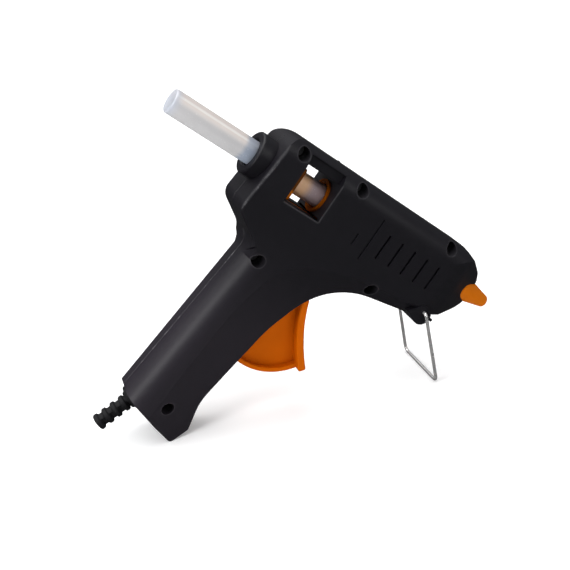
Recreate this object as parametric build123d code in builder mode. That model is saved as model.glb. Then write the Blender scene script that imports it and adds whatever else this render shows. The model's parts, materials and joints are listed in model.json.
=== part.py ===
"""Hot glue gun for 11 mm sticks, as an assembly of separate pieces.

Every piece is drawn in the barrel's frame: X runs forward along the glue stick, Y to the gun's
left and Z up, with the origin on the stick's axis at the rear face. At the end the whole gun is
tipped forward until it stands on its wire stand and on the corner of its handle.
Lengths are millimetres, angles are degrees, and a place in the side view is (x, z).
"""
import os
from math import asin, atan2, cos, degrees, pi, radians, sin, sqrt, tan

from build123d import *

os.makedirs("parts", exist_ok=True)

# Glue stick
stick_diameter = 11.2
stick_length = 100
stick_tail = 46
stick_edge = 0.5

# Body, outside
body_width = 29
wall = 2.2
edge_radius = 1.5
shoulder_radius = 10
shoulder_lift = 0.06
top_height = 17.7
rear_top_x = 4.6
rear_top_radius = 8.5
brow_x = 112
brow_radius = 12
nose_x = 133
nose_width = 6
nose_shoulder_x = 113.5
nose_shoulder_radius = 24
nose_top = (128.6, 10.8)
nose_top_radius = 6
nose_face_top = 6.6
nose_face_bottom = -6
nose_edge_radius = 2.5
nose_bottom = (129.8, -9.8)
chin = (119, -17.4)
chin_radius = 10
belly_front = (104.5, -23.6)
belly_radius = 25
throat = (60.2, -29.8)
throat_radius = 38
grip_bend = (47.6, -64)
grip_bend_radius = 60
grip_waist = (40.2, -109)
grip_waist_radius = 24
toe = (43.8, -124.3)
foot_corner = (39, -133.2)
foot_radius = 2
heel = (7.3, -121)
back_top = (17.4, -32.5)
back_top_radius = 9
rear_foot = (0.6, -22)
rear_foot_radius = 6.5
front_width = 19.4
back_stations = ((-0.06, 12), (0.93, 9.5), (1, 0.3))
inner_edge_radius = 0.4
seam_chamfer = 0.25

# Collar, window and vents
collar_diameter = 20.5
collar_length = 4
collar_clearance = 0.6
collar_edge = 1
collar_mouth = 0.8
window_start = 16
window_end = 35.5
window_sill = -9
window_head = 14.5
window_lintel = 9.7
window_recess = 9
reveal = 1.6
vent_count = 5
vent_pitch = 8
vent_start = 70.2
vent_length = 12.7
vent_width = 1
vent_middle_z = -2.9
groove_depth = 0.5
groove_width = 0.8
long_groove_x = 62.6
long_groove_length = 21.5
short_groove_x = 55.4
short_groove_length = 6
short_groove_z = -6.6

# Screws, sunk in the right half
screw_points = ((12.2, 12.4), (46, 13.2), (103, 13.4), (79.1, -22.8), (22.4, -37.5), (26.9, -117.6))
screw_shank = 2.9
screw_head = 5.6
screw_head_height = 2
screw_drive_width = 0.8
screw_drive_length = 3.4
screw_reach = 8
screw_seat = 2.6
recess_diameter = 6.2
boss_diameter = 8.4
pilot_tip_room = 1

# Trigger
trigger_pivot = (50, -36)
trigger_travel = 18
trigger_pin_diameter = 4
trigger_pin_length = 18
hub_diameter = 10.4
hub_width = 12
pin_boss_diameter = 8
web_thickness = 3.2
web_rear_x = 41
web_neck = 3.5
finger_top = (57.6, -43.2)
finger_middle = (65.8, -59.2)
finger_toe = (77.2, -73.9)
flange_thickness = 3.8
flange_edge = 0.9
flange_top_width = 13
flange_toe_width = 17
flange_step_z = -54
rim_share = 0.93
rim_middle = (63.4, -81.9)
rim_rear = (43, -83)
rim_thickness = 2.2
rim_width = 10
rim_edge = 0.6
slot_width = 14.4
slot_top = -40.6
slot_bottom = -87.6

# Feed: the trigger's fork drives a carriage that carries a pawl
fork_gap = 6.8
fork_thickness = 2.2
fork_width = 7.4
fork_overrun = 2.6
feed_bar_top = -9.4
feed_bar_height = 3.6
feed_bar_width = 6
feed_bar_overrun = 2.8
feed_pin_diameter = 3
carriage_start = 7.6
carriage_length = 12.4
carriage_width = 17.2
carriage_top = 7.4
carriage_bottom = -8.6
carriage_clearance = 0.5
carriage_edge = 1.5
dog_width = 2.4
dog_reach = 4.4
dog_hub_diameter = 3.4
dog_tilt = 12
dog_gap = 0.26
dog_pin_diameter = 1.6
rail_thickness = 1.6
rail_height = 4
rail_places = (24, 38.5)

# Return spring of the trigger
spring_z = -58
spring_wire = 0.8
spring_diameter = 6
spring_turns = 7
post_end = 20
post_diameter = 9
pad_depth = 2
pad_height = 9
pad_width = 8
nib_length = 2.4
nib_gap = 0.3

# Melting unit
sleeve_start = 34.5
sleeve_diameter = 16.6
sleeve_mouth = 1
spigot_start = 50
spigot_diameter = 14.2
chamber_start = 60
chamber_end = 104
chamber_diameter = 17
bore_diameter = 11.9
bore_end = 80
outlet_diameter = 3
outlet_start = 100
neck_diameter = 13
neck_end = 116
clamp_start = 53
clamp_width = 4
clamp_thickness = 0.6
support_start = 107
support_width = 5
support_diameter = 17
rib_thickness = 1.6
rib_start = 57.4
rib_drop = 8
pocket_start = 64
pocket_end = 98
pocket_gap = 0.2
pocket_width = 12
pocket_wall = 1.5
film_thickness = 0.3
film_overhang = 1
electrode_thickness = 0.5
electrode_width = 9
tab_reach = 5
tab_length = 3
tab_side = 6.5
pill_thickness = 2.4
pill_length = 14
pill_gap = 2
pill_width = 10
wedge_thickness = 1.2

# Nozzle and valve
nozzle_root_diameter = 8
nozzle_root_length = 6
nozzle_shoulder_diameter = 12
nozzle_shoulder_end = 121
nozzle_cone_diameter = 9.2
nozzle_tip_x = 146
nozzle_tip_diameter = 3.4
orifice_diameter = 2
valve_chamber_diameter = 5.4
valve_chamber_end = 124
ball_diameter = 4
ball_travel = 1.2
valve_wire = 0.45
valve_spring_diameter = 3
valve_turns = 5
boot_diameter = 14
boot_taper_start = 127
boot_tip_diameter = 6
boot_tip_radius = 1.1

# Wiring
lead_diameter = 2
lead_side = 10
lead_route = ((45, 10, -20), (33, 9.5, -34), (28.5, 9, -60), (24.5, 7, -92))
lead_bends = (3, 14, 20, 30)
crimp_diameter = 4.4
crimp_length = 10

# Wire stand
wire_diameter = 1.6
stand_pivot = (109.8, -18.8)
stand_bar = (137.5, -44)
stand_bar_width = 36
stand_eye_bend = 1.6
stand_bar_bend = 3
stand_end_length = 6
stand_side_gap = 1.2
stop_reach = 3.2
stop_diameter = 1.6
lug_centre = (109.6, -20.4)
lug_radius = 4.8
lug_tail = (103, -21.8)
lug_tail_radius = 0.8
lug_width = 30

# Cord relief
relief_setback = 8.2
relief_length = 20.6
relief_bore = 3.8
relief_flange_diameter = 12.6
relief_flange_thickness = 1.8
relief_step_diameter = 9.4
relief_step_thickness = 1.4
relief_neck = 6.4
relief_rib_diameter = 8
relief_rib_width = 2.6
relief_rib_edge = 0.6
relief_root_diameter = 6
relief_rib_count = 4
relief_plate_width = 10.4
relief_plate_depth = 8.8
relief_plate_shift = 1.2
relief_plate_thickness = 1.8

# Clearances
running_gap = 0.1
pin_gap = 0.05
slide_gap = 0.4
rail_gap = 0.2
carriage_room = 1.2
margin = 1

half_width = body_width / 2
stick_radius = stick_diameter / 2
collar_bore = stick_diameter + 2 * collar_clearance

bottom_line = Vector(foot_corner[0] - heel[0], 0, foot_corner[1] - heel[1]).normalized()
relief_axis = Vector(bottom_line.Z, 0, -bottom_line.X)
relief_seat = Vector(heel[0], 0, heel[1]) + bottom_line * relief_setback

# Corners of the side view with the radius of each, clockwise from the rear top
body_corners = (
    ((rear_top_x, top_height), rear_top_radius),
    ((brow_x, top_height), brow_radius),
    (nose_top, nose_top_radius),
    ((nose_x, nose_face_top), nose_edge_radius),
    ((nose_x, nose_face_bottom), nose_edge_radius),
    (nose_bottom, nose_edge_radius),
    (chin, chin_radius),
    (belly_front, belly_radius),
    (throat, throat_radius),
    (grip_bend, grip_bend_radius),
    (grip_waist, grip_waist_radius),
    (toe, foot_radius),
    (foot_corner, foot_radius),
    (heel, foot_radius),
    (back_top, back_top_radius),
    (rear_foot, rear_foot_radius),
)

# The flat side ends at a crease, from which a facet slopes in to the front edge
facet_rows = (
    ((127.5, -11), (126, -13.3)),
    ((112, -16.2), (111, -21.2)),
    ((92, -19.6), (90, -26)),
    ((70, -21.8), (72, -30.2)),
    ((50.3, -26.8), (60, -37.5)),
    ((36, -35.5), (53.2, -48)),
    ((28.8, -50), (48.4, -62.5)),
    ((24.4, -79), (44.6, -82)),
    ((22.2, -108), (41, -107)),
    ((21, -138), (43, -138)),
)


def inset_corner(number, inset):
    """Corner of the side view and its radius, moved in by inset."""
    (x, z), radius = body_corners[number]
    (last_x, last_z), _ = body_corners[number - 1]
    (next_x, next_z), _ = body_corners[(number + 1) % len(body_corners)]
    to_last = Vector(last_x - x, last_z - z).normalized()
    to_next = Vector(next_x - x, next_z - z).normalized()
    move = inset / sin(radians(to_last.get_angle(to_next) / 2))
    hollow = to_last.cross(to_next).Z < 0
    if hollow:
        move = -move
        radius = radius + inset
    else:
        radius = max(radius - inset, inner_edge_radius)
    place = Vector(x, z) + (to_last + to_next).normalized() * move
    return (place.X, place.Y), radius


def side_outline(inset):
    """Side view of the body, moved in by inset, on the middle plane."""
    corners = [inset_corner(number, inset) for number in range(len(body_corners))]
    with BuildSketch(Plane.XZ) as outline:
        with BuildLine():
            Polyline(*[corner for corner, radius in corners], close=True)
        make_face()
        for corner, radius in corners:
            fillet(outline.vertices().sort_by_distance((*corner, 0))[0], radius)
    return outline.sketch


def facet_section(points, distance):
    """Region in front of a line of points, on a plane to the right of the middle."""
    far_x = nose_x + 3 * margin
    with BuildSketch(Plane.XZ.offset(distance)) as section:
        with BuildLine():
            Spline(*points)
            Polyline(points[-1], (far_x, points[-1][1]), (far_x, points[0][1]), points[0])
        make_face()
    return section.sketch


def facet_cutter(inset):
    """What the front facet takes off the right side."""
    drop = half_width - front_width / 2
    outer = [(c[0] + (c[0] - f[0]) * margin / drop, c[1] + (c[1] - f[1]) * margin / drop)
             for c, f in facet_rows]
    inner = [(f[0] + (f[0] - c[0]) * margin / drop, f[1] + (f[1] - c[1]) * margin / drop)
             for c, f in facet_rows]
    with BuildPart() as cutter:
        loft((facet_section(outer, half_width - inset + margin),
              facet_section(inner, front_width / 2 - inset - margin)), ruled=True)
    return cutter.part


def back_section(foot, radius, inset):
    """Corner taken off square to the back of the handle: rounded outside, flat inside."""
    rise = Vector(back_top[0] - heel[0], 0, back_top[1] - heel[1]).normalized()
    backward = Vector(-rise.Z, 0, rise.X)
    sideways = Vector(0, -1, 0)
    origin = Vector(foot[0], 0, foot[1]) - backward * inset
    side = half_width - inset
    flat = (2 - sqrt(2)) * (radius - inset)
    overcut = 3 * margin
    with BuildSketch(Plane(origin=origin, x_dir=backward, z_dir=backward.cross(sideways))) as section:
        with BuildLine():
            if inset:
                Polyline((-flat - overcut, side + overcut), (overcut, side + overcut),
                         (overcut, side - flat - overcut), close=True)
            else:
                CenterArc((-radius, side - radius), radius, 0, 90)
                Polyline((-radius, side), (-radius, side + overcut), (overcut, side + overcut),
                         (overcut, side - radius + overcut), (0, side - radius))
        make_face()
    return section.sketch


def back_cutter(inset):
    """What the rounding of the handle's back takes off the right side, fading out at the top."""
    rise = Vector(back_top[0] - heel[0], 0, back_top[1] - heel[1])
    sections = []
    for share, radius in back_stations:
        foot = (heel[0] + rise.X * share, heel[1] + rise.Z * share)
        sections.append(back_section(foot, radius, inset))
    with BuildPart() as cutter:
        loft(sections, ruled=True)
    return cutter.part


def body_form(inset):
    """Right half of the body as one solid, moved in by inset from all but the middle plane."""
    side = half_width - inset
    taper_start = Vector(nose_shoulder_x, -side - shoulder_lift)
    taper = Vector(nose_x - inset, inset - nose_width / 2) - taper_start
    taper_end = taper_start + taper * ((taper.X + margin) / taper.X)
    with BuildPart() as form:
        extrude(side_outline(inset), amount=side)
        if not inset:
            fillet(form.faces().sort_by(Axis.Y)[0].edges(), edge_radius)
            chamfer(form.faces().sort_by(Axis.Y)[-1].edges(), seam_chamfer)
        with BuildSketch(Plane.YZ.offset(-collar_length)) as barrel:
            with Locations((margin, top_height + shoulder_lift - inset)):
                Rectangle(side + margin, 4 * stick_length, align=(Align.MAX, Align.MAX))
            fillet(barrel.vertices().sort_by_distance((-side, top_height))[0], shoulder_radius - inset)
        extrude(barrel.sketch, amount=nose_x + 2 * collar_length, mode=Mode.INTERSECT)
        with BuildSketch(Plane.XY.offset(-2 * stick_length)) as plan:
            with BuildLine():
                Polyline((-collar_length, taper_start.Y), taper_start, taper_end,
                         (taper_end.X, margin), (-collar_length, margin), close=True)
            make_face()
            fillet(plan.vertices().sort_by_distance(taper_start)[0], nose_shoulder_radius)
        extrude(plan.sketch, amount=3 * stick_length, mode=Mode.INTERSECT)
        add(facet_cutter(inset), mode=Mode.SUBTRACT)
        add(back_cutter(inset), mode=Mode.SUBTRACT)
    return form.part


def block(low, high, mode=Mode.ADD):
    """Box between two corners."""
    with Locations((Vector(*low) + Vector(*high)) / 2):
        Box(*(Vector(*high) - Vector(*low)), mode=mode)


def rod(start, end, diameter, mode=Mode.ADD):
    """Round bar on the stick's axis, from one x to another."""
    with BuildSketch(Plane.YZ.offset(start)) as section:
        Circle(diameter / 2)
    extrude(section.sketch, amount=end - start, mode=mode)


def right_rod(start, end, diameter, z):
    """Right half of a round bar along X."""
    with BuildSketch(Plane.YZ.offset(start)) as section:
        with Locations((0, z)):
            Circle(diameter / 2)
            Rectangle(diameter, diameter, align=(Align.MIN, Align.CENTER), mode=Mode.SUBTRACT)
    extrude(section.sketch, amount=end - start)


def cross_pin(place, diameter, start, end, mode=Mode.ADD):
    """Round bar across the gun, from one y to another."""
    with BuildSketch(Plane.XZ.offset(-start)) as section:
        with Locations(place):
            Circle(diameter / 2)
    extrude(section.sketch, amount=start - end, mode=mode)


def turned(profile, mode=Mode.ADD):
    """Solid turned about the stick's axis from (x, radius) points, closed along the axis."""
    with BuildSketch(Plane.XZ) as section:
        with BuildLine():
            Polyline((profile[0][0], 0), *profile, (profile[-1][0], 0), close=True)
        make_face()
    revolve(section.sketch, axis=Axis.X, mode=mode)


def coil(start, length, diameter, turns, wire, z):
    """Spring wire wound along X, in quarter turns."""
    pitch = (length - wire) / turns
    print("coil gap", round(pitch - wire, 3))

    def point(turn):
        angle = 2 * pi * turn
        return Vector(start + wire / 2 + pitch * turn,
                      diameter / 2 * cos(angle), z + diameter / 2 * sin(angle))

    with BuildPart() as spring:
        with BuildLine() as path:
            for quarter in range(4 * turns):
                ThreePointArc(point(quarter / 4), point(quarter / 4 + 1 / 8), point(quarter / 4 + 1 / 4))
        with BuildSketch(Plane(origin=path.line @ 0, z_dir=path.line % 0)):
            Circle(wire / 2)
        sweep()
    return spring


half_slot = slot_width / 2
half_lug = lug_width / 2
feed_bar_bottom = feed_bar_top - feed_bar_height
feed_pin_z = feed_bar_top - feed_bar_height / 2
lever = feed_pin_z - trigger_pivot[1]
half_swing = radians(trigger_travel / 2)
feed_stroke = 2 * lever * tan(half_swing)
feed_pin_place = (trigger_pivot[0] - lever * tan(half_swing), feed_pin_z)
stand_leg = Vector(stand_bar[0] - stand_pivot[0], 0, stand_bar[1] - stand_pivot[1]).normalized()
stop_offset = wire_diameter / 2 + stop_diameter / 2 + pin_gap
stop_place = (stand_pivot[0] + stop_reach * stand_leg.X - stop_offset * stand_leg.Z,
              stand_pivot[1] + stop_reach * stand_leg.Z + stop_offset * stand_leg.X)
relief_plane = Plane(origin=relief_seat, x_dir=bottom_line, z_dir=relief_axis)
nib_diameter = spring_diameter - spring_wire - 2 * nib_gap
pad_x = web_rear_x - pad_depth

body_form_outer = body_form(0)
body_form_middle = body_form(wall / 2)
body_form_hollow = body_form(wall)


def boot_radius(x):
    """Radius of the boot's cone."""
    share = (x - boot_taper_start) / (nozzle_tip_x - boot_taper_start)
    return (boot_diameter + (boot_tip_diameter - boot_diameter) * share) / 2


# Right half of the rear collar, with its bore still solid
with BuildPart() as collar:
    right_rod(-collar_length, carriage_start - carriage_room, collar_diameter, 0)
    fillet(collar.faces().sort_by(Axis.X)[0].edges().filter_by(GeomType.CIRCLE), collar_edge)

# Bosses, ribs and window walls inside the right half
with BuildPart() as fittings:
    for place in screw_points:
        cross_pin(place, boss_diameter, -half_width, 0)
    cross_pin(trigger_pivot, pin_boss_diameter, -half_width, -hub_width / 2 - slide_gap)
    window_low = window_start - reveal
    window_high = window_end + reveal
    block((window_low, -window_recess - reveal, window_lintel), (window_high, 0, window_lintel + reveal))
    block((window_low, -window_recess - reveal, window_lintel), (window_high, -window_recess, top_height))
    block((window_low, -half_width, window_sill - reveal),
          (window_high, -feed_bar_width / 2 - slide_gap, window_sill))
    block((window_low, -half_width, window_sill - reveal),
          (window_start, -carriage_width / 2 - slide_gap, top_height))
    block((window_end, -half_width, -rib_drop), (window_high, 0, top_height))
    block((rib_start, -half_width, -rib_drop), (rib_start + rib_thickness, 0, top_height))
    block((support_start, -half_width, -support_diameter), (support_start + support_width, 0, top_height))
    for place in rail_places:
        rail_top = feed_bar_bottom - rail_gap
        block((place, -half_width, rail_top - rail_height), (place + rail_thickness, 0, rail_top))
    rod(sleeve_start - margin, chamber_start, sleeve_diameter, Mode.SUBTRACT)
    rod(chamber_start, support_start + support_width + margin, support_diameter, Mode.SUBTRACT)
    right_rod(heel[0], post_end, post_diameter, spring_z)
    right_rod(post_end, post_end + nib_length, nib_diameter, spring_z)
    add(body_form_middle, mode=Mode.INTERSECT)

# Right half of the body without its screw holes; the left half is its mirror image
with BuildPart() as half_shell:
    add(body_form_outer)
    add(body_form_hollow, mode=Mode.SUBTRACT)
    block((window_start, -body_width, window_sill), (window_end, margin, window_head), Mode.SUBTRACT)
    add(fittings.part)
    add(collar.part)
    turned(((-collar_length - margin, collar_bore / 2 + collar_mouth + margin),
            (-collar_length + collar_mouth, collar_bore / 2), (carriage_start, collar_bore / 2)), Mode.SUBTRACT)
    turned(((nose_shoulder_x, boot_diameter / 2 + running_gap),
            (boot_taper_start, boot_diameter / 2 + running_gap),
            (nose_x + margin, boot_radius(nose_x + margin) + running_gap)), Mode.SUBTRACT)
    with BuildSketch(Plane.XZ) as lug:
        with Locations(lug_centre):
            Circle(lug_radius)
        with Locations(lug_tail):
            Circle(lug_tail_radius)
        make_hull()
    extrude(lug.sketch, amount=half_lug)
    stop_length = half_lug + stand_side_gap + wire_diameter
    cross_pin(stop_place, stop_diameter, -stop_length, 0)
    eye_floor = half_lug - stand_end_length - slide_gap
    cross_pin(stand_pivot, wire_diameter + 2 * running_gap, -stop_length, -eye_floor, Mode.SUBTRACT)
    cross_pin(trigger_pivot, trigger_pin_diameter, -trigger_pin_length / 2, 0, Mode.SUBTRACT)
    block((web_rear_x, -half_slot, slot_bottom), (finger_toe[0], margin, slot_top), Mode.SUBTRACT)
    with BuildSketch(Plane.XZ.offset(half_width - 2 * wall)) as vents:
        for number in range(vent_count):
            with Locations((vent_start + number * vent_pitch, vent_middle_z)):
                SlotOverall(vent_length, vent_width, rotation=90)
    extrude(vents.sketch, amount=3 * wall, mode=Mode.SUBTRACT)
    with BuildSketch(Plane.XZ.offset(half_width - groove_depth)) as grooves:
        with Locations((long_groove_x, vent_middle_z)):
            SlotOverall(long_groove_length, groove_width, rotation=90)
        with Locations((short_groove_x, short_groove_z)):
            SlotOverall(short_groove_length, groove_width, rotation=90)
    extrude(grooves.sketch, amount=wall, mode=Mode.SUBTRACT)
    with BuildSketch(relief_plane.offset(-2 * wall)) as relief_hole:
        Circle(relief_neck / 2)
    extrude(relief_hole.sketch, amount=3 * wall, mode=Mode.SUBTRACT)

with BuildPart() as housing_right:
    add(half_shell.part)
    for place in screw_points:
        cross_pin(place, recess_diameter, -half_width - margin, -screw_seat, Mode.SUBTRACT)
        cross_pin(place, screw_shank + 2 * running_gap, -half_width, margin, Mode.SUBTRACT)

with BuildPart() as housing_left:
    add(half_shell.part.mirror(Plane.XZ))
    for place in screw_points:
        cross_pin(place, screw_shank, -margin, screw_reach + pilot_tip_room, Mode.SUBTRACT)

with BuildPart() as housing_screws:
    for place in screw_points:
        cross_pin(place, screw_head, -screw_seat - screw_head_height, -screw_seat)
        cross_pin(place, screw_shank, -screw_seat, screw_reach)
        with BuildSketch(Plane.XZ.offset(screw_seat + screw_head_height / 2)) as drive:
            with Locations(place):
                Rectangle(screw_drive_length, screw_drive_width)
                Rectangle(screw_drive_width, screw_drive_length)
        extrude(drive.sketch, amount=screw_head_height, mode=Mode.SUBTRACT)

with BuildPart() as glue_stick:
    rod(-stick_tail, stick_length - stick_tail, stick_diameter)
    chamfer(glue_stick.edges(), stick_edge)

dog_pivot = (carriage_start + carriage_length / 2, -stick_radius - dog_gap - dog_reach)
dog_slot = dog_width / 2 + rail_gap
with BuildPart() as feed_carriage:
    block((carriage_start, -carriage_width / 2, carriage_bottom),
          (carriage_start + carriage_length, carriage_width / 2, carriage_top))
    fillet(feed_carriage.edges().filter_by(Axis.X), carriage_edge)
    block((carriage_start, -feed_bar_width / 2, feed_bar_bottom),
          (carriage_start + carriage_length, feed_bar_width / 2, 0))
    block((carriage_start, -feed_bar_width / 2, feed_bar_bottom),
          (feed_pin_place[0] + feed_bar_overrun, feed_bar_width / 2, feed_bar_top))
    rod(carriage_start - margin, carriage_start + carriage_length + margin,
        stick_diameter + 2 * carriage_clearance, Mode.SUBTRACT)
    block((dog_pivot[0] - dog_hub_diameter, -dog_slot, dog_pivot[1] - dog_hub_diameter / 2 - rail_gap),
          (dog_pivot[0] + dog_hub_diameter, dog_slot, 0), Mode.SUBTRACT)
    cross_pin(dog_pivot, dog_pin_diameter, -feed_bar_width / 2, feed_bar_width / 2, Mode.SUBTRACT)
    cross_pin(feed_pin_place, feed_pin_diameter, -feed_bar_width / 2, feed_bar_width / 2, Mode.SUBTRACT)

with BuildPart() as feed_pin:
    feed_pin_half = fork_gap / 2 + fork_thickness + slide_gap
    cross_pin(feed_pin_place, feed_pin_diameter, -feed_pin_half, feed_pin_half)

with BuildPart() as dog_pin:
    cross_pin(dog_pivot, dog_pin_diameter, -feed_bar_width / 2, feed_bar_width / 2)

dog_plane = Plane(origin=(dog_pivot[0], dog_width / 2, dog_pivot[1]), z_dir=(0, -1, 0),
                  x_dir=(cos(radians(dog_tilt)), 0, -sin(radians(dog_tilt))))
with BuildPart() as grip_dog:
    with BuildSketch(dog_plane) as pawl:
        Circle(dog_hub_diameter / 2)
        with BuildLine():
            Polyline((-dog_hub_diameter / 2, 0), (0, dog_reach), (dog_hub_diameter / 2, 0), close=True)
        make_face()
        Circle(dog_pin_diameter / 2 + pin_gap, mode=Mode.SUBTRACT)
    extrude(pawl.sketch, amount=dog_width)

fork_plane = Plane(origin=(trigger_pivot[0], -fork_gap / 2, trigger_pivot[1]), z_dir=(0, -1, 0),
                   x_dir=(cos(half_swing), 0, sin(half_swing)))
finger_line = ThreePointArc(finger_top, finger_middle, finger_toe)
rim_front = finger_line @ rim_share
with BuildPart() as finger_flange:
    with BuildSketch(Plane.XZ.offset(-flange_toe_width / 2)) as finger:
        with BuildLine():
            ThreePointArc(finger_top, finger_middle, finger_toe)
        trace(line_width=flange_thickness)
    extrude(finger.sketch, amount=flange_toe_width)
    flange_end = finger_toe[1] - flange_thickness
    with BuildSketch(Plane.YZ.offset(trigger_pivot[0])) as front_view:
        with BuildLine():
            Polyline((-flange_top_width / 2, trigger_pivot[1]), (flange_top_width / 2, trigger_pivot[1]),
                     (flange_top_width / 2, flange_step_z), (flange_toe_width / 2, flange_end),
                     (-flange_toe_width / 2, flange_end), (-flange_top_width / 2, flange_step_z), close=True)
        make_face()
    extrude(front_view.sketch, amount=nose_x, mode=Mode.INTERSECT)
    fillet(finger_flange.edges(), flange_edge)

with BuildPart() as bottom_rim:
    with BuildSketch(Plane.XZ.offset(-rim_width / 2)) as rim:
        with BuildLine():
            ThreePointArc(rim_rear, rim_middle, rim_front)
        trace(line_width=rim_thickness)
    extrude(rim.sketch, amount=rim_width)
    fillet(bottom_rim.edges().filter_by(GeomType.CIRCLE), rim_edge)

with BuildPart() as trigger:
    with BuildSketch(Plane.XZ.offset(-web_thickness / 2)) as web:
        with BuildLine():
            ThreePointArc(rim_rear, rim_middle, rim_front)
            ThreePointArc(rim_front, finger_line @ (rim_share / 2), finger_top)
            Polyline(finger_top, trigger_pivot, (trigger_pivot[0] - web_neck, trigger_pivot[1]),
                     (web_rear_x, spring_z + pad_height), (web_rear_x, rim_rear[1]), rim_rear)
        make_face()
    extrude(web.sketch, amount=web_thickness)
    add(bottom_rim.part)
    add(finger_flange.part)
    block((pad_x, -pad_width / 2, spring_z - pad_height / 2),
          (web_rear_x + pad_depth, pad_width / 2, spring_z + pad_height / 2))
    with BuildSketch(Plane.YZ.offset(pad_x)) as trigger_nib:
        with Locations((0, spring_z)):
            Circle(nib_diameter / 2)
    extrude(trigger_nib.sketch, amount=-nib_length)
    with BuildSketch(fork_plane) as arm:
        with Locations((0, (lever + fork_overrun) / 2)):
            Rectangle(fork_width, lever + fork_overrun)
        with Locations((0, lever)):
            Rectangle(feed_pin_diameter + 2 * running_gap, 2 * fork_overrun, mode=Mode.SUBTRACT)
    extrude(arm.sketch, amount=fork_thickness)
    extrude(arm.sketch.mirror(Plane.XZ), amount=fork_thickness)
    cross_pin(trigger_pivot, hub_diameter, -hub_width / 2, hub_width / 2)
    cross_pin(trigger_pivot, trigger_pin_diameter + 2 * pin_gap, -hub_width, hub_width, Mode.SUBTRACT)

with BuildPart() as trigger_pin:
    cross_pin(trigger_pivot, trigger_pin_diameter, -trigger_pin_length / 2, trigger_pin_length / 2)

return_spring = coil(post_end, pad_x - post_end, spring_diameter, spring_turns, spring_wire, spring_z)

root_start = neck_end - nozzle_root_length
pocket_top = -chamber_diameter / 2 - pocket_gap
stack_height = 2 * film_thickness + 2 * electrode_thickness + pill_thickness + wedge_thickness
pocket_bottom = pocket_top - stack_height
with BuildPart() as melt_chamber:
    turned(((spigot_start, spigot_diameter / 2), (chamber_start, spigot_diameter / 2),
            (chamber_start, chamber_diameter / 2), (chamber_end, chamber_diameter / 2),
            (chamber_end, neck_diameter / 2), (neck_end, neck_diameter / 2)))
    block((pocket_start, -pocket_width / 2 - pocket_wall, pocket_bottom - pocket_wall),
          (pocket_end, pocket_width / 2 + pocket_wall, -chamber_diameter / 4))
    turned(((spigot_start, bore_diameter / 2), (bore_end, bore_diameter / 2),
            (outlet_start, outlet_diameter / 2), (root_start, outlet_diameter / 2),
            (root_start, nozzle_root_diameter / 2), (neck_end, nozzle_root_diameter / 2)), Mode.SUBTRACT)
    block((pocket_start, -pocket_width / 2, pocket_bottom), (pocket_end, pocket_width / 2, pocket_top),
          Mode.SUBTRACT)

with BuildPart() as inlet_sleeve:
    rod(sleeve_start, chamber_start, sleeve_diameter)
    turned(((sleeve_start, bore_diameter / 2 + sleeve_mouth), (sleeve_start + sleeve_mouth, bore_diameter / 2),
            (spigot_start, bore_diameter / 2), (spigot_start, spigot_diameter / 2),
            (chamber_start, spigot_diameter / 2)), Mode.SUBTRACT)

with BuildPart() as sleeve_clamp:
    rod(clamp_start, clamp_start + clamp_width, sleeve_diameter + 2 * clamp_thickness)
    rod(clamp_start, clamp_start + clamp_width, sleeve_diameter, Mode.SUBTRACT)

with BuildPart() as support_ring:
    rod(support_start, support_start + support_width, support_diameter)
    rod(support_start, support_start + support_width, neck_diameter, Mode.SUBTRACT)

film_start = pocket_start - film_overhang
film_end = pocket_end + film_overhang
with BuildPart() as insulation_film:
    block((film_start, -pocket_width / 2, pocket_bottom), (film_end, pocket_width / 2, pocket_top))
    block((film_start, film_thickness - pocket_width / 2, pocket_bottom + film_thickness),
          (film_end, pocket_width / 2 - film_thickness, pocket_top - film_thickness), Mode.SUBTRACT)

upper_z = pocket_top - film_thickness
pill_top = upper_z - electrode_thickness
lower_z = pill_top - pill_thickness
wedge_top = lower_z - electrode_thickness
tab_x = pocket_start - tab_reach
with BuildPart() as upper_electrode:
    block((tab_x, -electrode_width / 2, pill_top), (pocket_end, electrode_width / 2, upper_z))
    block((tab_x, 0, pill_top), (tab_x + tab_length, tab_side, upper_z))

with BuildPart() as lower_electrode:
    block((tab_x, -electrode_width / 2, wedge_top), (pocket_end, electrode_width / 2, lower_z))
    block((tab_x, -tab_side, wedge_top), (tab_x + tab_length, 0, lower_z))

pill_margin = (pocket_end - pocket_start - 2 * pill_length - pill_gap) / 2
with BuildPart() as heater_pills:
    for start in (pocket_start + pill_margin, pocket_end - pill_margin - pill_length):
        block((start, -pill_width / 2, lower_z), (start + pill_length, pill_width / 2, pill_top))

with BuildPart() as heater_wedge:
    block((pocket_start, -pill_width / 2, wedge_top - wedge_thickness), (pocket_end, pill_width / 2, wedge_top))


def lead(side, z):
    """Sleeved lead from an electrode's tab down into the handle."""
    start = (tab_x + tab_length / 2, side * tab_side, z)
    corner = (start[0], side * lead_side, z)
    points = [start, corner] + [(x, side * y, height) for x, y, height in lead_route]
    with BuildPart() as wire:
        with BuildLine() as path:
            FilletPolyline(*points, radius=lead_bends)
        with BuildSketch(Plane(origin=path.line @ 0, z_dir=path.line % 0)):
            Circle(lead_diameter / 2)
        sweep()
    return wire, Plane(origin=path.line @ 1, z_dir=path.line % 1)


left_lead, left_end = lead(1, (upper_z + pill_top) / 2)
right_lead, right_end = lead(-1, (lower_z + wedge_top) / 2)

with BuildPart() as crimp_connectors:
    for plane in (left_end, right_end):
        with BuildSketch(plane) as crimp:
            Circle(crimp_diameter / 2)
        extrude(crimp.sketch, amount=crimp_length)

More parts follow.
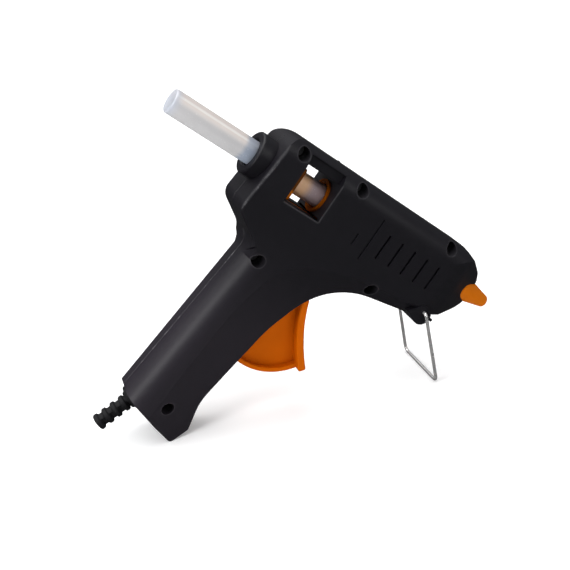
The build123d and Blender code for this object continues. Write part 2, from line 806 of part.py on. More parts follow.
ball_x = root_start + sqrt(ball_diameter ** 2 - outlet_diameter ** 2) / 2 + pin_gap
with BuildPart() as nozzle:
    turned(((root_start, nozzle_root_diameter / 2), (neck_end, nozzle_root_diameter / 2),
            (neck_end, nozzle_shoulder_diameter / 2), (nozzle_shoulder_end, nozzle_shoulder_diameter / 2),
            (nozzle_shoulder_end, nozzle_cone_diameter / 2), (nozzle_tip_x, nozzle_tip_diameter / 2)))
    turned(((root_start, valve_chamber_diameter / 2), (valve_chamber_end, valve_chamber_diameter / 2),
            (valve_chamber_end, orifice_diameter / 2), (nozzle_tip_x, orifice_diameter / 2)), Mode.SUBTRACT)

with BuildPart() as check_ball:
    with Locations((ball_x, 0, 0)):
        Sphere(ball_diameter / 2)

valve_start = ball_x + ball_diameter / 2 + pin_gap
valve_spring = coil(valve_start, valve_chamber_end - valve_start, valve_spring_diameter, valve_turns,
                    valve_wire, 0)

with BuildPart() as nozzle_sleeve:
    turned(((nozzle_shoulder_end, boot_diameter / 2), (boot_taper_start, boot_diameter / 2),
            (nozzle_tip_x, boot_tip_diameter / 2)))
    fillet(nozzle_sleeve.faces().sort_by(Axis.X)[-1].edges(), boot_tip_radius)
    turned(((nozzle_shoulder_end, nozzle_cone_diameter / 2), (nozzle_tip_x, nozzle_tip_diameter / 2)),
           Mode.SUBTRACT)

leg_y = half_lug + stand_side_gap + wire_diameter / 2
end_y = half_lug - stand_end_length
half_bar = stand_bar_width / 2
with BuildPart() as wire_stand:
    with BuildLine() as stand_path:
        FilletPolyline((stand_pivot[0], -end_y, stand_pivot[1]), (stand_pivot[0], -leg_y, stand_pivot[1]),
                       (stand_bar[0], -half_bar, stand_bar[1]), (stand_bar[0], half_bar, stand_bar[1]),
                       (stand_pivot[0], leg_y, stand_pivot[1]), (stand_pivot[0], end_y, stand_pivot[1]),
                       radius=(stand_eye_bend, stand_bar_bend, stand_bar_bend, stand_eye_bend))
    with BuildSketch(Plane(origin=stand_path.line @ 0, z_dir=stand_path.line % 0)):
        Circle(wire_diameter / 2)
    sweep()


def relief_disc(start, end, diameter, mode=Mode.ADD):
    """Round part of the cord relief, between two distances from its seat."""
    with BuildSketch(relief_plane.offset(start)) as disc:
        Circle(diameter / 2)
    extrude(disc.sketch, amount=end - start, mode=mode)


with BuildPart() as strain_relief:
    rib_pitch = (relief_length - relief_flange_thickness) / relief_rib_count
    for number in range(relief_rib_count):
        rib_end = relief_length - number * rib_pitch
        relief_disc(rib_end - relief_rib_width, rib_end, relief_rib_diameter)
    fillet(strain_relief.edges(), relief_rib_edge)
    relief_disc(0, relief_flange_thickness, relief_flange_diameter)
    relief_disc(0, relief_flange_thickness + relief_step_thickness, relief_step_diameter)
    relief_disc(-wall, 0, relief_neck)
    relief_disc(0, relief_length, relief_root_diameter)
    with BuildSketch(relief_plane.offset(-wall)) as plate:
        with Locations((relief_plate_shift, 0)):
            Rectangle(relief_plate_depth, relief_plate_width)
    extrude(plate.sketch, amount=-relief_plate_thickness)
    relief_disc(-wall - relief_plate_thickness, relief_length, relief_bore, Mode.SUBTRACT)

pieces = {
    "housing_right": housing_right,
    "housing_left": housing_left,
    "housing_screws": housing_screws,
    "glue_stick": glue_stick,
    "feed_carriage": feed_carriage,
    "feed_pin": feed_pin,
    "grip_dog": grip_dog,
    "dog_pin": dog_pin,
    "trigger": trigger,
    "trigger_pin": trigger_pin,
    "return_spring": return_spring,
    "melt_chamber": melt_chamber,
    "inlet_sleeve": inlet_sleeve,
    "sleeve_clamp": sleeve_clamp,
    "support_ring": support_ring,
    "insulation_film": insulation_film,
    "upper_electrode": upper_electrode,
    "lower_electrode": lower_electrode,
    "heater_pills": heater_pills,
    "heater_wedge": heater_wedge,
    "left_lead": left_lead,
    "right_lead": right_lead,
    "crimp_connectors": crimp_connectors,
    "nozzle": nozzle,
    "check_ball": check_ball,
    "valve_spring": valve_spring,
    "nozzle_sleeve": nozzle_sleeve,
    "wire_stand": wire_stand,
    "strain_relief": strain_relief,
}

# The gun stands on the wire's bar and on the rounded corner of the handle
to_toe = Vector(toe[0] - foot_corner[0], 0, toe[1] - foot_corner[1]).normalized()
inward = (to_toe - bottom_line).normalized()
foot_centre = (Vector(foot_corner[0], 0, foot_corner[1])
               + inward * (foot_radius / sin(radians(to_toe.get_angle(-bottom_line) / 2))))
reach = Vector(stand_bar[0], 0, stand_bar[1]) - foot_centre
stand_angle = degrees(atan2(reach.Z, reach.X) - asin((wire_diameter / 2 - foot_radius) / reach.length))
tipped = Location((0, 0, 0), (0, stand_angle, 0))
boxes = [piece.part.moved(tipped).bounding_box() for piece in pieces.values()]
middle_x = (min(box.min.X for box in boxes) + max(box.max.X for box in boxes)) / 2
floor_z = (cos(radians(stand_angle)) * foot_centre.Z - sin(radians(stand_angle)) * foot_centre.X) - foot_radius
standing = Location((-middle_x, 0, -floor_z), (0, stand_angle, 0))

for name, piece in pieces.items():
    standing_part = piece.part.moved(standing)
    standing_part.label = name
    export_step(standing_part, f"parts/{name}.step")
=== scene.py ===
"""Looks of a hot glue gun that stands on its wire stand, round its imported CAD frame."""

import json
import math

import bpy
from mathutils import Matrix, Vector


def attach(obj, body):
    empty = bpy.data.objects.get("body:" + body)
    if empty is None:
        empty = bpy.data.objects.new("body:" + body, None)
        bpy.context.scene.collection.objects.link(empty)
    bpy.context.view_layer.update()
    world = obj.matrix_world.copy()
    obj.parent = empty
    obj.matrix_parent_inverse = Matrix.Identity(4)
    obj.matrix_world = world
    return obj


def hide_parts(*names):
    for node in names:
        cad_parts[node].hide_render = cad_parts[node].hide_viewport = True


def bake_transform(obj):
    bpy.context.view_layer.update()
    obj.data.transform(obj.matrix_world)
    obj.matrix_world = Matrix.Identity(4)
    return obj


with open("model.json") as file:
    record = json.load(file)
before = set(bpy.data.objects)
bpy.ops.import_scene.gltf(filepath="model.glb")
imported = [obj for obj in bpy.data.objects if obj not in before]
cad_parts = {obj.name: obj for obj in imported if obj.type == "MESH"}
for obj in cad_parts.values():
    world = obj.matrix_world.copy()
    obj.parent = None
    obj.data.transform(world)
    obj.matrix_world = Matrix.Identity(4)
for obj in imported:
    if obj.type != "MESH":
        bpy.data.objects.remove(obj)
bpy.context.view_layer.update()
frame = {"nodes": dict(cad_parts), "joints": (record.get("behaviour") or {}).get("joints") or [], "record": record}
nodes = frame["nodes"]
joints = {joint["name"]: joint for joint in frame["joints"]}

# The barrel's own frame: millimetres, x forward along the stick, y to the left, z up
forward = Vector(joints["feed_slide"]["axis"])
upward = Vector((-forward.z, 0, forward.x))
trigger_pin = Vector(joints["trigger_pivot"]["pos_m"])
trigger_pin_on_barrel = Vector((50, 0, -36))
tip_angle = math.atan2(-forward.z, forward.x)


def turned(direction):
    """Direction of the barrel's frame in the standing frame."""
    x, y, z = direction
    return forward * x + Vector((0, y, 0)) + upward * z


def on_gun(x, y, z):
    """Point of the barrel's frame in the standing frame, in metres."""
    return trigger_pin + turned((Vector((x, y, z)) - trigger_pin_on_barrel) / 1000)


def seat(place, x_axis, y_axis, z_axis):
    """Placement at a point, with a piece's own axes turned to three directions."""
    return Matrix.Translation(place) @ Matrix([x_axis, y_axis, z_axis]).transposed().to_4x4()


def deselect():
    """Leaves nothing selected, in object mode."""
    if bpy.context.object and bpy.context.object.mode != "OBJECT":
        bpy.ops.object.mode_set(mode="OBJECT")
    bpy.ops.object.select_all(action="DESELECT")


# Camera, placed and turned in the barrel's frame
camera_place = (-160.76, -391.3, 26.93)
camera_heading = math.radians(28)
camera_height = math.radians(9)
camera_roll = math.radians(34.606)
focal_pixels = 966
frame_pixels = 570
sensor_width = 36

back = Vector((-math.sin(camera_heading) * math.cos(camera_height),
               -math.cos(camera_heading) * math.cos(camera_height), math.sin(camera_height)))
level_right = Vector((math.cos(camera_heading), -math.sin(camera_heading), 0))
level_up = back.cross(level_right)
right = level_right * math.cos(camera_roll) + level_up * math.sin(camera_roll)
above = level_up * math.cos(camera_roll) - level_right * math.sin(camera_roll)
deselect()
bpy.ops.object.camera_add()
camera = bpy.context.object
camera.name = "photo_camera"
camera.data.sensor_width = sensor_width
camera.data.lens = sensor_width * focal_pixels / frame_pixels
camera.matrix_world = seat(on_gun(*camera_place), turned(right), turned(above), turned(back))
bpy.context.scene.camera = camera
bpy.context.scene.view_settings.view_transform = "Standard"


class Value:
    """A socket of a finish, in sums written as in Python."""

    def __init__(self, finish, socket):
        self.finish = finish
        self.socket = socket

    def sum(self, operation, first, second):
        return self.finish.node("ShaderNodeMath", {"operation": operation}, {0: first, 1: second})

    def __add__(self, other):
        return self.sum("ADD", self, other)

    def __radd__(self, other):
        return self.sum("ADD", other, self)

    def __sub__(self, other):
        return self.sum("SUBTRACT", self, other)

    def __rsub__(self, other):
        return self.sum("SUBTRACT", other, self)

    def __mul__(self, other):
        return self.sum("MULTIPLY", self, other)

    def __rmul__(self, other):
        return self.sum("MULTIPLY", other, self)

    def __abs__(self):
        return self.sum("ABSOLUTE", self, 0.0)


class Finish:
    """The nodes of a material or of the studio's air, made one by one."""

    def __init__(self, owner, shader="Principled BSDF"):
        owner.use_nodes = True
        self.owner = owner
        self.tree = owner.node_tree
        self.shader = self.tree.nodes[shader]

    def node(self, kind, settings=None, sockets=None, output=0):
        """New node with its settings first, then the values or links of its sockets."""
        made = self.tree.nodes.new(kind)
        for name, setting in (settings or {}).items():
            setattr(made, name, setting)
        for name, value in (sockets or {}).items():
            self.feed(made.inputs[name], value)
        return Value(self, made.outputs[output])

    def feed(self, socket, value):
        if isinstance(value, Value):
            self.tree.links.new(value.socket, socket)
        else:
            socket.default_value = value

    def place(self):
        """Place on the piece, in metres of the standing frame."""
        return self.node("ShaderNodeTexCoord", output="Object")

    def barrel_place(self):
        """Place on the piece in metres of the barrel's frame, from the trigger's pin."""
        return self.node("ShaderNodeMapping", {"vector_type": "TEXTURE"},
                         {"Vector": self.place(), "Location": trigger_pin, "Rotation": (0, tip_angle, 0)})

    def part(self, vector, axis):
        return self.node("ShaderNodeSeparateXYZ", sockets={0: vector}, output=axis)

    def noise(self, place, scale, detail, roughness=0.5):
        return self.node("ShaderNodeTexNoise", sockets={
            "Vector": place, "Scale": scale, "Detail": detail, "Roughness": roughness})

    def larger(self, first, second):
        return self.node("ShaderNodeMath", {"operation": "MAXIMUM"}, {0: first, 1: second})

    def stretched(self, place, stretch):
        return self.node("ShaderNodeVectorMath", {"operation": "MULTIPLY"}, {0: place, 1: stretch})

    def rise(self, value, low, high):
        """Smooth step from 0 at low to 1 at high."""
        return self.node("ShaderNodeMapRange", {"interpolation_type": "SMOOTHSTEP"},
                         {"Value": value, "From Min": low, "From Max": high})

    def line(self, distance, inner, outer):
        """1 within the inner distance to either side of a line, and 0 past the outer one."""
        return 1 - self.rise(abs(distance), inner, outer)

    def mix(self, share, first, second):
        """Colour from first to second as share goes from 0 to 1."""
        return self.node("ShaderNodeMix", {"data_type": "RGBA"},
                         {0: share, 6: first, 7: second}, output=2)

    def bump(self, height, distance, strength):
        return self.node("ShaderNodeBump", sockets={
            "Height": height, "Distance": distance, "Strength": strength})

    def set(self, **sockets):
        """Feeds the shader; a name's underscores stand for spaces."""
        for name, value in sockets.items():
            self.feed(self.shader.inputs[name.replace("_", " ")], value)
        return self.owner


def new_finish(name):
    return Finish(bpy.data.materials.new(name))


def grey(level):
    return (level, level, level, 1)


# Middles of the screw recesses on the right side: x and z of the barrel's frame, in millimetres
screw_recesses = ((12.2, 12.4), (46, 13.2), (103, 13.4), (79.1, -22.8), (22.4, -37.5), (26.9, -117.6))


def black_moulding():
    """Satin black shell: fine spark grain and a scuffed seam, with painted highlights along the rear edge, the
    window's edges and round each recess, painted shade inside the recesses, and painted light that makes the
    handle lighter lower down.
    """
    # In metres of the barrel's frame, with places from the trigger's pin; the lean is a slope
    rear_edge_x = -0.0501
    rear_edge_lean = 0.101
    window_sill = 0.0267
    window_jamb = -0.0142
    recess_radius = 0.003
    rim_radius = 0.0033
    finish = new_finish("black_moulding")
    place = finish.place()
    barrel = finish.barrel_place()
    along = finish.part(barrel, "X")
    sideways = finish.part(barrel, "Y")
    across = abs(sideways)
    on_right = finish.rise(sideways, 0.001, -0.001)
    height = finish.part(barrel, "Z")
    grain = finish.noise(place, 2400, 3)
    cloud = finish.noise(place, 40, 3, 0.6)
    scuff = finish.rise(finish.noise(place, 300, 4, 0.65), 0.51, 0.64)
    on_back = finish.rise(height, -0.078, -0.07) * (1 - finish.rise(height, 0.004, 0.01))
    seam = finish.line(sideways, 0.0002, 0.00055) * on_back
    # Painted highlight: a thin pale line along the rear edge's fillet, broken up in part by the scuff noise
    rear_highlight_line = finish.line(along - rear_edge_lean * height - rear_edge_x, 0.0002, 0.0006)
    rear_edge_highlight = rear_highlight_line * finish.rise(across, 0.013, 0.0138)
    on_side = finish.rise(across, 0.01405, 0.0143)
    # Painted highlights: thin pale lines along the window's lower and rear edges, on the flat side
    sill_highlight = finish.line(height - window_sill, 0.0002, 0.0005) * finish.rise(along, -0.0345, -0.0335)
    sill_highlight = sill_highlight * (1 - finish.rise(along, -0.0145, window_jamb))
    jamb_highlight = finish.line(along - window_jamb, 0.0002, 0.0005) * finish.rise(height, 0.0265, 0.027)
    window = finish.larger(sill_highlight, jamb_highlight)
    flat = finish.stretched(barrel, (1, 0, 1))
    # Painted highlights: a thin pale ring round each screw recess on the right side
    recess_rim_highlights = 0.0
    shaded_recess_depths = 0.0
    for x, z in screw_recesses:
        middle = ((x - trigger_pin_on_barrel.x) / 1000, 0, (z - trigger_pin_on_barrel.z) / 1000)
        spot = finish.node("ShaderNodeVectorMath", {"operation": "DISTANCE"}, {0: flat, 1: middle},
                           output="Value")
        recess_rim_highlights = finish.larger(recess_rim_highlights, finish.line(spot - rim_radius, 0.0001, 0.00035))
        shaded_recess_depths = finish.larger(shaded_recess_depths, 1 - finish.rise(spot, recess_radius, recess_radius + 0.0001))
    recess_rim_highlights = recess_rim_highlights * on_right
    shaded_recess_depths = shaded_recess_depths * on_right
    # Scuffs on the seam together with the painted edge highlights, all in one pale grey
    scuffs_and_edge_highlights = finish.larger(seam * scuff * 0.65, rear_edge_highlight * (0.06 + 0.25 * scuff))
    scuffs_and_edge_highlights = finish.larger(scuffs_and_edge_highlights, finish.larger(window * on_side * 0.15, recess_rim_highlights * 0.09))
    tone = finish.mix(cloud, (0.0056, 0.005, 0.0074, 1), (0.0078, 0.007, 0.0102, 1))
    # Painted light: the body turns lighter lower down, most on the handle, as if lit from below by the floor
    tone = finish.mix(finish.rise(height, 0.02, -0.05), tone, (0.0162, 0.0132, 0.0185, 1))
    # Painted shade: the inside of each screw recess darkened to near black, and made rougher
    tone = finish.mix(shaded_recess_depths * 0.9, tone, grey(0.0005))
    return finish.set(
        Base_Color=finish.mix(scuffs_and_edge_highlights, tone, (0.16, 0.155, 0.165, 1)),
        Roughness=0.36 + 0.1 * cloud + 0.06 * grain + 0.4 * shaded_recess_depths,
        Specular_IOR_Level=0.3,
        Normal=finish.bump(grain, 0.00003, 0.5))


def orange_moulding(name, colour, shade, roughness, painted_shade_height=None):
    """Orange plastic or rubber, darkened with painted shade above a height over the trigger's pin where that is
    given.
    """
    finish = new_finish(name)
    place = finish.place()
    grain = finish.noise(place, 1800, 3)
    cloud = finish.noise(place, 70, 3, 0.6)
    tone = finish.mix(cloud, shade, colour)
    if painted_shade_height:
        height = finish.part(finish.barrel_place(), "Z")
        # Painted shade: near black-brown above the given height
        painted_shade = finish.rise(height, painted_shade_height - 0.001, painted_shade_height + 0.001)
        tone = finish.mix(0.85 * painted_shade, tone, (0.03, 0.012, 0.003, 1))
    return finish.set(
        Base_Color=tone,
        Roughness=roughness + 0.08 * cloud + 0.05 * grain,
        Specular_IOR_Level=0.03,
        Normal=finish.bump(grain, 0.00002, 0.4))


def hot_melt():
    """Milky stick, blue at its rear rim, with a painted beige highlight and a painted highlight line along its
    top, a painted blue shadow by the collar, painted purple-grey shade inside the housing and a painted amber glow
    in the window from the orange parts beside it.
    """
    finish = new_finish("hot_melt_glue")
    barrel = finish.barrel_place()
    along = finish.part(barrel, "X")
    height = finish.part(barrel, "Z")
    cloud = finish.noise(finish.stretched(barrel, (0.2, 1, 1)), 220, 3, 0.6)
    speck = finish.rise(finish.noise(barrel, 1400, 2), 0.66, 0.74)
    rim = 1 - finish.rise(along, -0.0962, -0.0912)
    # Painted shadow: blue-grey on the stick by the collar, fading out further in
    collar_painted_shadow = finish.rise(along, -0.0605, -0.0575) * (1 - finish.rise(along, -0.0555, -0.045))
    inside = finish.rise(along, -0.048, -0.034)
    painted_orange_bounce = inside * (1 - finish.rise(along, -0.0255, -0.0205))
    # Painted highlights: a pale beige band along the top, and a pale line (glint) along it
    top_painted_highlight = finish.rise(height, 0.0362, 0.0395)
    glint = finish.line(height - 0.0398, 0.0002, 0.0007)
    body = finish.mix(cloud, (0.41, 0.405, 0.41, 1), (0.53, 0.52, 0.525, 1))
    body = finish.mix(top_painted_highlight * 0.7, body, (0.7, 0.62, 0.57, 1))
    body = finish.mix(glint * 0.5, body, (0.86, 0.86, 0.84, 1))
    body = finish.mix(rim * 0.75, body, (0.47, 0.5, 0.57, 1))
    body = finish.mix(collar_painted_shadow * 0.7, body, (0.2, 0.26, 0.36, 1))
    # Painted shade: darker purple-grey where the stick runs inside the housing
    body = finish.mix(inside, body, (0.34, 0.26, 0.27, 1))
    # Painted reflected light: amber in the window's rear part, as if thrown from the orange parts beside the stick
    body = finish.mix(painted_orange_bounce * 0.75, body, (0.72, 0.42, 0.2, 1))
    return finish.set(
        Base_Color=finish.mix(speck * 0.25, body, (0.9, 0.9, 0.88, 1)),
        Roughness=0.24 + 0.12 * cloud,
        Subsurface_Weight=0.35,
        Subsurface_Radius=(0.004, 0.004, 0.004),
        Subsurface_Scale=0.5,
        IOR=1.46,
        Coat_Weight=0.2,
        Normal=finish.bump(cloud, 0.0002, 0.35))


def metal(name, colour, shade, roughness, scale=500, metallic=1.0, grain=0.3):
    """Metal with a fine cast or drawn grain."""
    finish = new_finish(name)
    place = finish.place()
    streak = finish.noise(place, scale, 4, 0.6)
    return finish.set(
        Base_Color=finish.mix(streak, shade, colour),
        Metallic=metallic,
        Roughness=roughness + 0.12 * streak,
        Normal=finish.bump(streak, 0.00001, grain))


def soft_matte(name, colour, shade, roughness, scale=900):
    """Rubber, board, film or ceramic with little gloss."""
    finish = new_finish(name)
    place = finish.place()
    grain = finish.noise(place, scale, 4, 0.6)
    return finish.set(
        Base_Color=finish.mix(grain, shade, colour),
        Roughness=roughness + 0.12 * grain,
        Specular_IOR_Level=0.25,
        Normal=finish.bump(grain, 0.00003, 0.5))


finishes = {
    "body_plastic": black_moulding(),
    "trigger_plastic": orange_moulding(
        "trigger_orange", (0.55, 0.104, 0.0, 1), (0.49, 0.091, 0.0, 1), 0.42),
    # Feed orange: painted shade on it above the given height
    "feed_plastic": orange_moulding(
        "feed_orange", (0.5, 0.13, 0.004, 1), (0.42, 0.1, 0.002, 1), 0.45, painted_shade_height=0.032),
    # Darker copy of the silicone for the inlet sleeve: painted shade, as it sits in shadow behind the window
    "shaded_inlet_silicone": orange_moulding(
        "shaded_silicone", (0.3, 0.075, 0.0, 1), (0.24, 0.055, 0.0, 1), 0.55),
    "silicone": orange_moulding(
        "silicone_orange", (0.5, 0.12, 0.0, 1), (0.44, 0.105, 0.0, 1), 0.5),
    "stick_resin": hot_melt(),
    "relief_rubber": soft_matte("black_rubber", (0.008, 0.008, 0.009, 1), (0.005, 0.005, 0.006, 1), 0.62),
    "stand_wire": metal("plated_wire", (0.9, 0.89, 0.88, 1), (0.8, 0.79, 0.78, 1), 0.2,
                        scale=120, metallic=0.8, grain=0.05),
    "steel": metal("plain_steel", (0.56, 0.56, 0.57, 1), (0.44, 0.44, 0.45, 1), 0.32),
    "chamber_metal": metal("cast_aluminium", (0.66, 0.66, 0.66, 1), (0.52, 0.52, 0.53, 1), 0.45,
                           scale=300),
    "contact_brass": metal("turned_brass", (0.72, 0.52, 0.2, 1), (0.6, 0.42, 0.15, 1), 0.3),
    "crimp_metal": metal("tinned_crimp", (0.62, 0.62, 0.61, 1), (0.5, 0.5, 0.49, 1), 0.35),
    "ring_plastic": soft_matte("brown_phenolic", (0.1, 0.055, 0.035, 1), (0.07, 0.04, 0.025, 1), 0.5),
    "film": soft_matte("amber_film", (0.55, 0.27, 0.03, 1), (0.45, 0.2, 0.02, 1), 0.25),
    "pill_ceramic": soft_matte("grey_ceramic", (0.17, 0.17, 0.18, 1), (0.12, 0.12, 0.13, 1), 0.55),
    "lead_sleeve": soft_matte("white_sleeving", (0.75, 0.73, 0.68, 1), (0.6, 0.58, 0.54, 1), 0.7,
                              scale=1600),
}

slot_of = {part["node"]: part["material_slot"] for part in frame["record"]["subparts"]}
for name, node in nodes.items():
    node.data.materials.clear()
    node.data.materials.append(finishes[slot_of[name]])
# The inlet sleeve takes the darker copy of the silicone: painted shade
nodes["inlet_sleeve"].data.materials[0] = finishes["shaded_inlet_silicone"]


def sew_shut(merge_distance):
    """Merges doubled points, fills open ends and turns all faces outwards, then leaves edit mode."""
    bpy.ops.mesh.select_all(action="SELECT")
    bpy.ops.mesh.remove_doubles(threshold=merge_distance)
    bpy.ops.mesh.fill_holes(sides=0)
    bpy.ops.mesh.select_all(action="SELECT")
    bpy.ops.mesh.normals_make_consistent(inside=False)
    bpy.ops.object.mode_set(mode="OBJECT")


def drawn_tube(name, profile, segments):
    """Circle drawn out along z, ring by ring, through (z, radius) points in millimetres."""
    deselect()
    z, radius = profile[0]
    bpy.ops.mesh.primitive_circle_add(vertices=segments, radius=radius / 1000, location=(0, 0, z / 1000))
    piece = bpy.context.object
    piece.name = name
    bpy.ops.object.mode_set(mode="EDIT")
    bpy.ops.mesh.select_all(action="SELECT")
    for next_z, next_radius in profile[1:]:
        bpy.ops.mesh.extrude_region_move(TRANSFORM_OT_translate={"value": (0, 0, (next_z - z) / 1000)})
        scale = next_radius / radius
        bpy.ops.transform.resize(value=(scale, scale, 1), center_override=(0, 0, next_z / 1000))
        z, radius = next_z, next_radius
    sew_shut(0.000002)
    return piece


def finish_piece(piece, place, slot, smooth_angle):
    """Seats a piece drawn about the origin, and gives it its finish."""
    deselect()
    piece.select_set(True)
    bpy.context.view_layer.objects.active = piece
    bpy.ops.object.transform_apply(location=True, rotation=True, scale=True)
    piece.matrix_world = place
    bpy.ops.object.transform_apply(location=True, rotation=True, scale=True)
    bpy.ops.object.shade_smooth_by_angle(angle=math.radians(smooth_angle))
    piece.data.materials.clear()
    piece.data.materials.append(finishes[slot])


def cut_away(piece, cutter):
    """Takes the cutter's volume out of a piece."""
    deselect()
    bpy.context.view_layer.objects.active = piece
    piece.select_set(True)
    cut = piece.modifiers.new("cut", "BOOLEAN")
    cut.operation = "DIFFERENCE"
    cut.solver = "EXACT"
    cut.object = cutter
    bpy.ops.object.modifier_apply(modifier="cut")
    bpy.data.objects.remove(cutter)


def rounded_rib(start, width, root, crest):
    """Profile of one rounded rib, root to root."""
    flank = root + 0.5 * (crest - root)
    shoulder = crest - 0.08 * (crest - root)
    return [(start, root), (start + 0.06 * width, flank), (start + 0.2 * width, shoulder),
            (start + 0.5 * width, crest), (start + 0.8 * width, shoulder),
            (start + 0.94 * width, flank), (start + width, root)]


# Cord relief, in millimetres along its axis: a stepped flange, four rounded ribs and a pair of pockets
# in each valley
entry = next(mount for mount in frame["record"]["mounts"] if mount["name"] == "cord_entry")
relief_axis = Vector(entry["axis"]).normalized()
relief_across = Vector((-relief_axis.z, 0, relief_axis.x))
relief_place = seat(Vector(entry["pos_m"]), relief_across, relief_axis.cross(relief_across), relief_axis)
relief_inner_end = -4.0
relief_length = 20.6
relief_flange = 1.8
relief_rib_count = 4
relief_rib_width = 2.6
relief_root = 2.95
relief_crest = 4.0
relief_bore = 1.9
rib_pitch = (relief_length - relief_flange) / relief_rib_count
pocket_size = (3.2, 2.4, 1.7)
pocket_offset = 3.4
relief_profile = [(relief_inner_end, relief_bore), (relief_inner_end, 4.1), (-2.25, 4.1), (-2.25, 3.15),
                  (0.0, 3.15), (0.0, 5.95), (0.12, 6.18), (0.4, 6.28), (1.1, 6.28), (1.5, 6.1),
                  (1.75, 5.7), (1.85, 4.75), (2.1, 4.62), (2.9, 4.3), (3.15, 4.05), (3.25, relief_root)]
for number in reversed(range(relief_rib_count)):
    rib_end = relief_length - number * rib_pitch
    relief_profile += rounded_rib(rib_end - relief_rib_width, relief_rib_width, relief_root, relief_crest)
relief_profile += [(relief_length, relief_bore), (relief_inner_end, relief_bore)]
ribbed_relief = drawn_tube("ribbed_relief", relief_profile, 48)
pocket_cutters = []
for number in range(relief_rib_count):
    valley_end = relief_length - number * rib_pitch - relief_rib_width
    valley_middle = valley_end - (rib_pitch - relief_rib_width) / 2
    for side in (-1, 1):
        bpy.ops.mesh.primitive_cube_add(
            size=0.001, location=(0, side * pocket_offset / 1000, valley_middle / 1000))
        pocket = bpy.context.object
        pocket.scale = pocket_size
        pocket_cutters.append(pocket)
deselect()
for pocket in pocket_cutters:
    pocket.select_set(True)
bpy.context.view_layer.objects.active = pocket_cutters[0]
bpy.ops.object.join()
bpy.ops.object.transform_apply(location=True, rotation=True, scale=True)
cut_away(ribbed_relief, pocket_cutters[0])
finish_piece(ribbed_relief, relief_place, "relief_rubber", 40)
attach(ribbed_relief, "housing")
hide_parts("strain_relief")

# Glue stick: rolled rims and a shallow dimple at each end
barrel_place = seat(on_gun(0, 0, 0), upward, Vector((0, -1, 0)), forward)
stick_rear = -46
stick_front = 54
stick_radius = 5.6
middle_rings = (25, 50)
rim_profile = [(0.7, 0.4), (0.68, 1.6), (0.5, 3.0), (0.22, 4.0), (0.02, 4.6), (0.0, 4.85), (0.12, 5.2),
               (0.4, 5.45), (0.8, 5.57), (1.3, stick_radius)]
stick_profile = [(stick_rear + depth, radius) for depth, radius in rim_profile]
stick_profile += [(stick_rear + ring, stick_radius) for ring in middle_rings]
stick_profile += [(stick_front - depth, radius) for depth, radius in reversed(rim_profile)]
milky_stick = drawn_tube("milky_stick", stick_profile, 72)
finish_piece(milky_stick, barrel_place, "stick_resin", 50)
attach(milky_stick, "stick")
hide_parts("glue_stick")

# Moulding nib left on the top seam
nib_place = (33.7, -0.9, 17.7)
nib_profile = [(-0.6, 0.75), (0.12, 0.75), (0.3, 0.66), (0.38, 0.5), (0.4, 0.1)]
top_nib = drawn_tube("top_nib", nib_profile, 20)
finish_piece(top_nib, seat(on_gun(*nib_place), forward, Vector((0, 1, 0)), upward), "body_plastic", 40)
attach(top_nib, "housing")


def wound_spring(name, start, end, height, diameter, turns, wire):
    """Spring wire wound along the barrel, from one x to another at a height, with its ends closed."""
    deselect()
    steps_per_turn = 28
    bpy.ops.mesh.primitive_circle_add(vertices=12, radius=wire / 2000, location=(diameter / 2000, 0, 0),
                                      rotation=(math.pi / 2, 0, 0))
    spring = bpy.context.object
    spring.name = name
    bpy.ops.object.transform_apply(location=True, rotation=True, scale=True)
    wind = spring.modifiers.new("wind", "SCREW")
    wind.screw_offset = (end - start - wire) / turns / 1000
    wind.iterations = turns
    wind.steps = steps_per_turn
    wind.render_steps = steps_per_turn
    bpy.ops.object.modifier_apply(modifier="wind")
    bpy.ops.object.mode_set(mode="EDIT")
    sew_shut(0.000001)
    spring_place = barrel_place.copy()
    spring_place.translation = on_gun(start + wire / 2, 0, height)
    finish_piece(spring, spring_place, "steel", 50)
    return spring


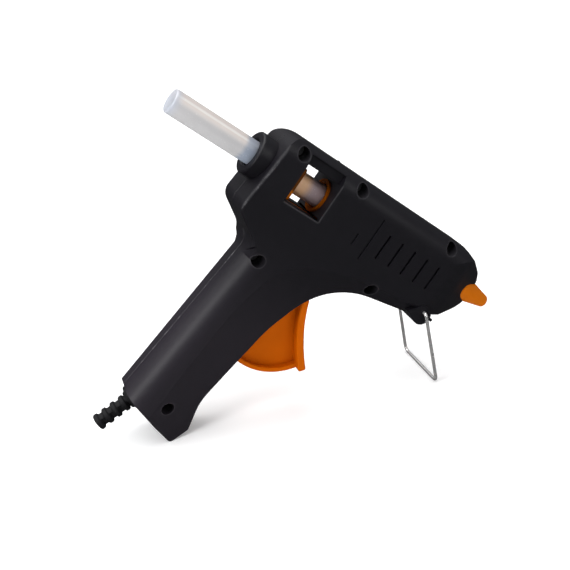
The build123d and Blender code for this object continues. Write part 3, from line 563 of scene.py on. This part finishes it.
# Springs: wound wire in place of the CAD springs
spring_height = -58
seat_length = 2.4
spring_start = 20
spring_end = 39
trigger_spring = wound_spring("trigger_spring", spring_start, spring_end, spring_height,
                              diameter=6, turns=7, wire=0.8)
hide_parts("return_spring")
on_gun(spring_start + seat_length, 0, spring_height)
on_gun(spring_end - seat_length, 0, spring_height)
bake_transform(trigger_spring)
valve_start = 113.42
valve_end = 124
ball_spring = wound_spring("ball_spring", valve_start, valve_end, height=0,
                           diameter=3, turns=5, wire=0.45)
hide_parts("valve_spring")
on_gun(valve_start, 0, 0)
on_gun(valve_end, 0, 0)
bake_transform(ball_spring)

# Studio: a pale floor, a backdrop that only the camera sees, air that is brighter overhead, a wide sun
# as a skylight, and soft boxes behind the handle and before the nose
floor_size = 14
deselect()
bpy.ops.mesh.primitive_plane_add(size=floor_size)
floor = bpy.context.object
floor.name = "studio_floor"
floor.visible_glossy = False
paper = new_finish("pale_paper").set(
    Base_Color=grey(0.88), Roughness=0.9, Emission_Color=grey(1), Emission_Strength=0.2)
floor.data.materials.append(paper)

bpy.ops.mesh.primitive_uv_sphere_add(radius=floor_size / 2)
backdrop = bpy.context.object
backdrop.name = "pale_backdrop"
backdrop.visible_diffuse = False
backdrop.visible_glossy = False
backdrop.visible_transmission = False
backdrop.visible_shadow = False
dome = new_finish("pale_dome").set(
    Base_Color=grey(0), Emission_Color=grey(1), Emission_Strength=1.0)
backdrop.data.materials.append(dome)

air = Finish(bpy.data.worlds.new("studio_air"), "Background")
sky_height = air.part(air.node("ShaderNodeTexCoord", output="Generated"), "Z")
overhead = air.rise(sky_height, 0.05, 0.9)
bpy.context.scene.world = air.set(Color=(0.97, 0.98, 1.0, 1), Strength=0.06 + 0.5 * overhead)

bpy.ops.object.light_add(type="SUN", location=(0, 0, 2))
skylight = bpy.context.object
skylight.name = "skylight"
skylight.data.energy = 2.9
skylight.data.angle = math.radians(75)
skylight.rotation_euler = (math.radians(-8), math.radians(-10), 0)


def soft_box(name, place, aim, size, power):
    """Square light that faces a point."""
    bpy.ops.object.light_add(type="AREA", location=place)
    lamp = bpy.context.object
    lamp.name = name
    lamp.data.size = size
    lamp.data.energy = power
    lamp.rotation_euler = (Vector(aim) - Vector(place)).to_track_quat("-Z", "Y").to_euler()


soft_box("back_box", place=(-0.75, -0.35, 0.5), aim=(-0.03, 0, 0.07), size=0.35, power=3)
soft_box("front_box", place=(0.7, -0.8, 0.5), aim=(0.02, 0, 0.07), size=0.5, power=2)
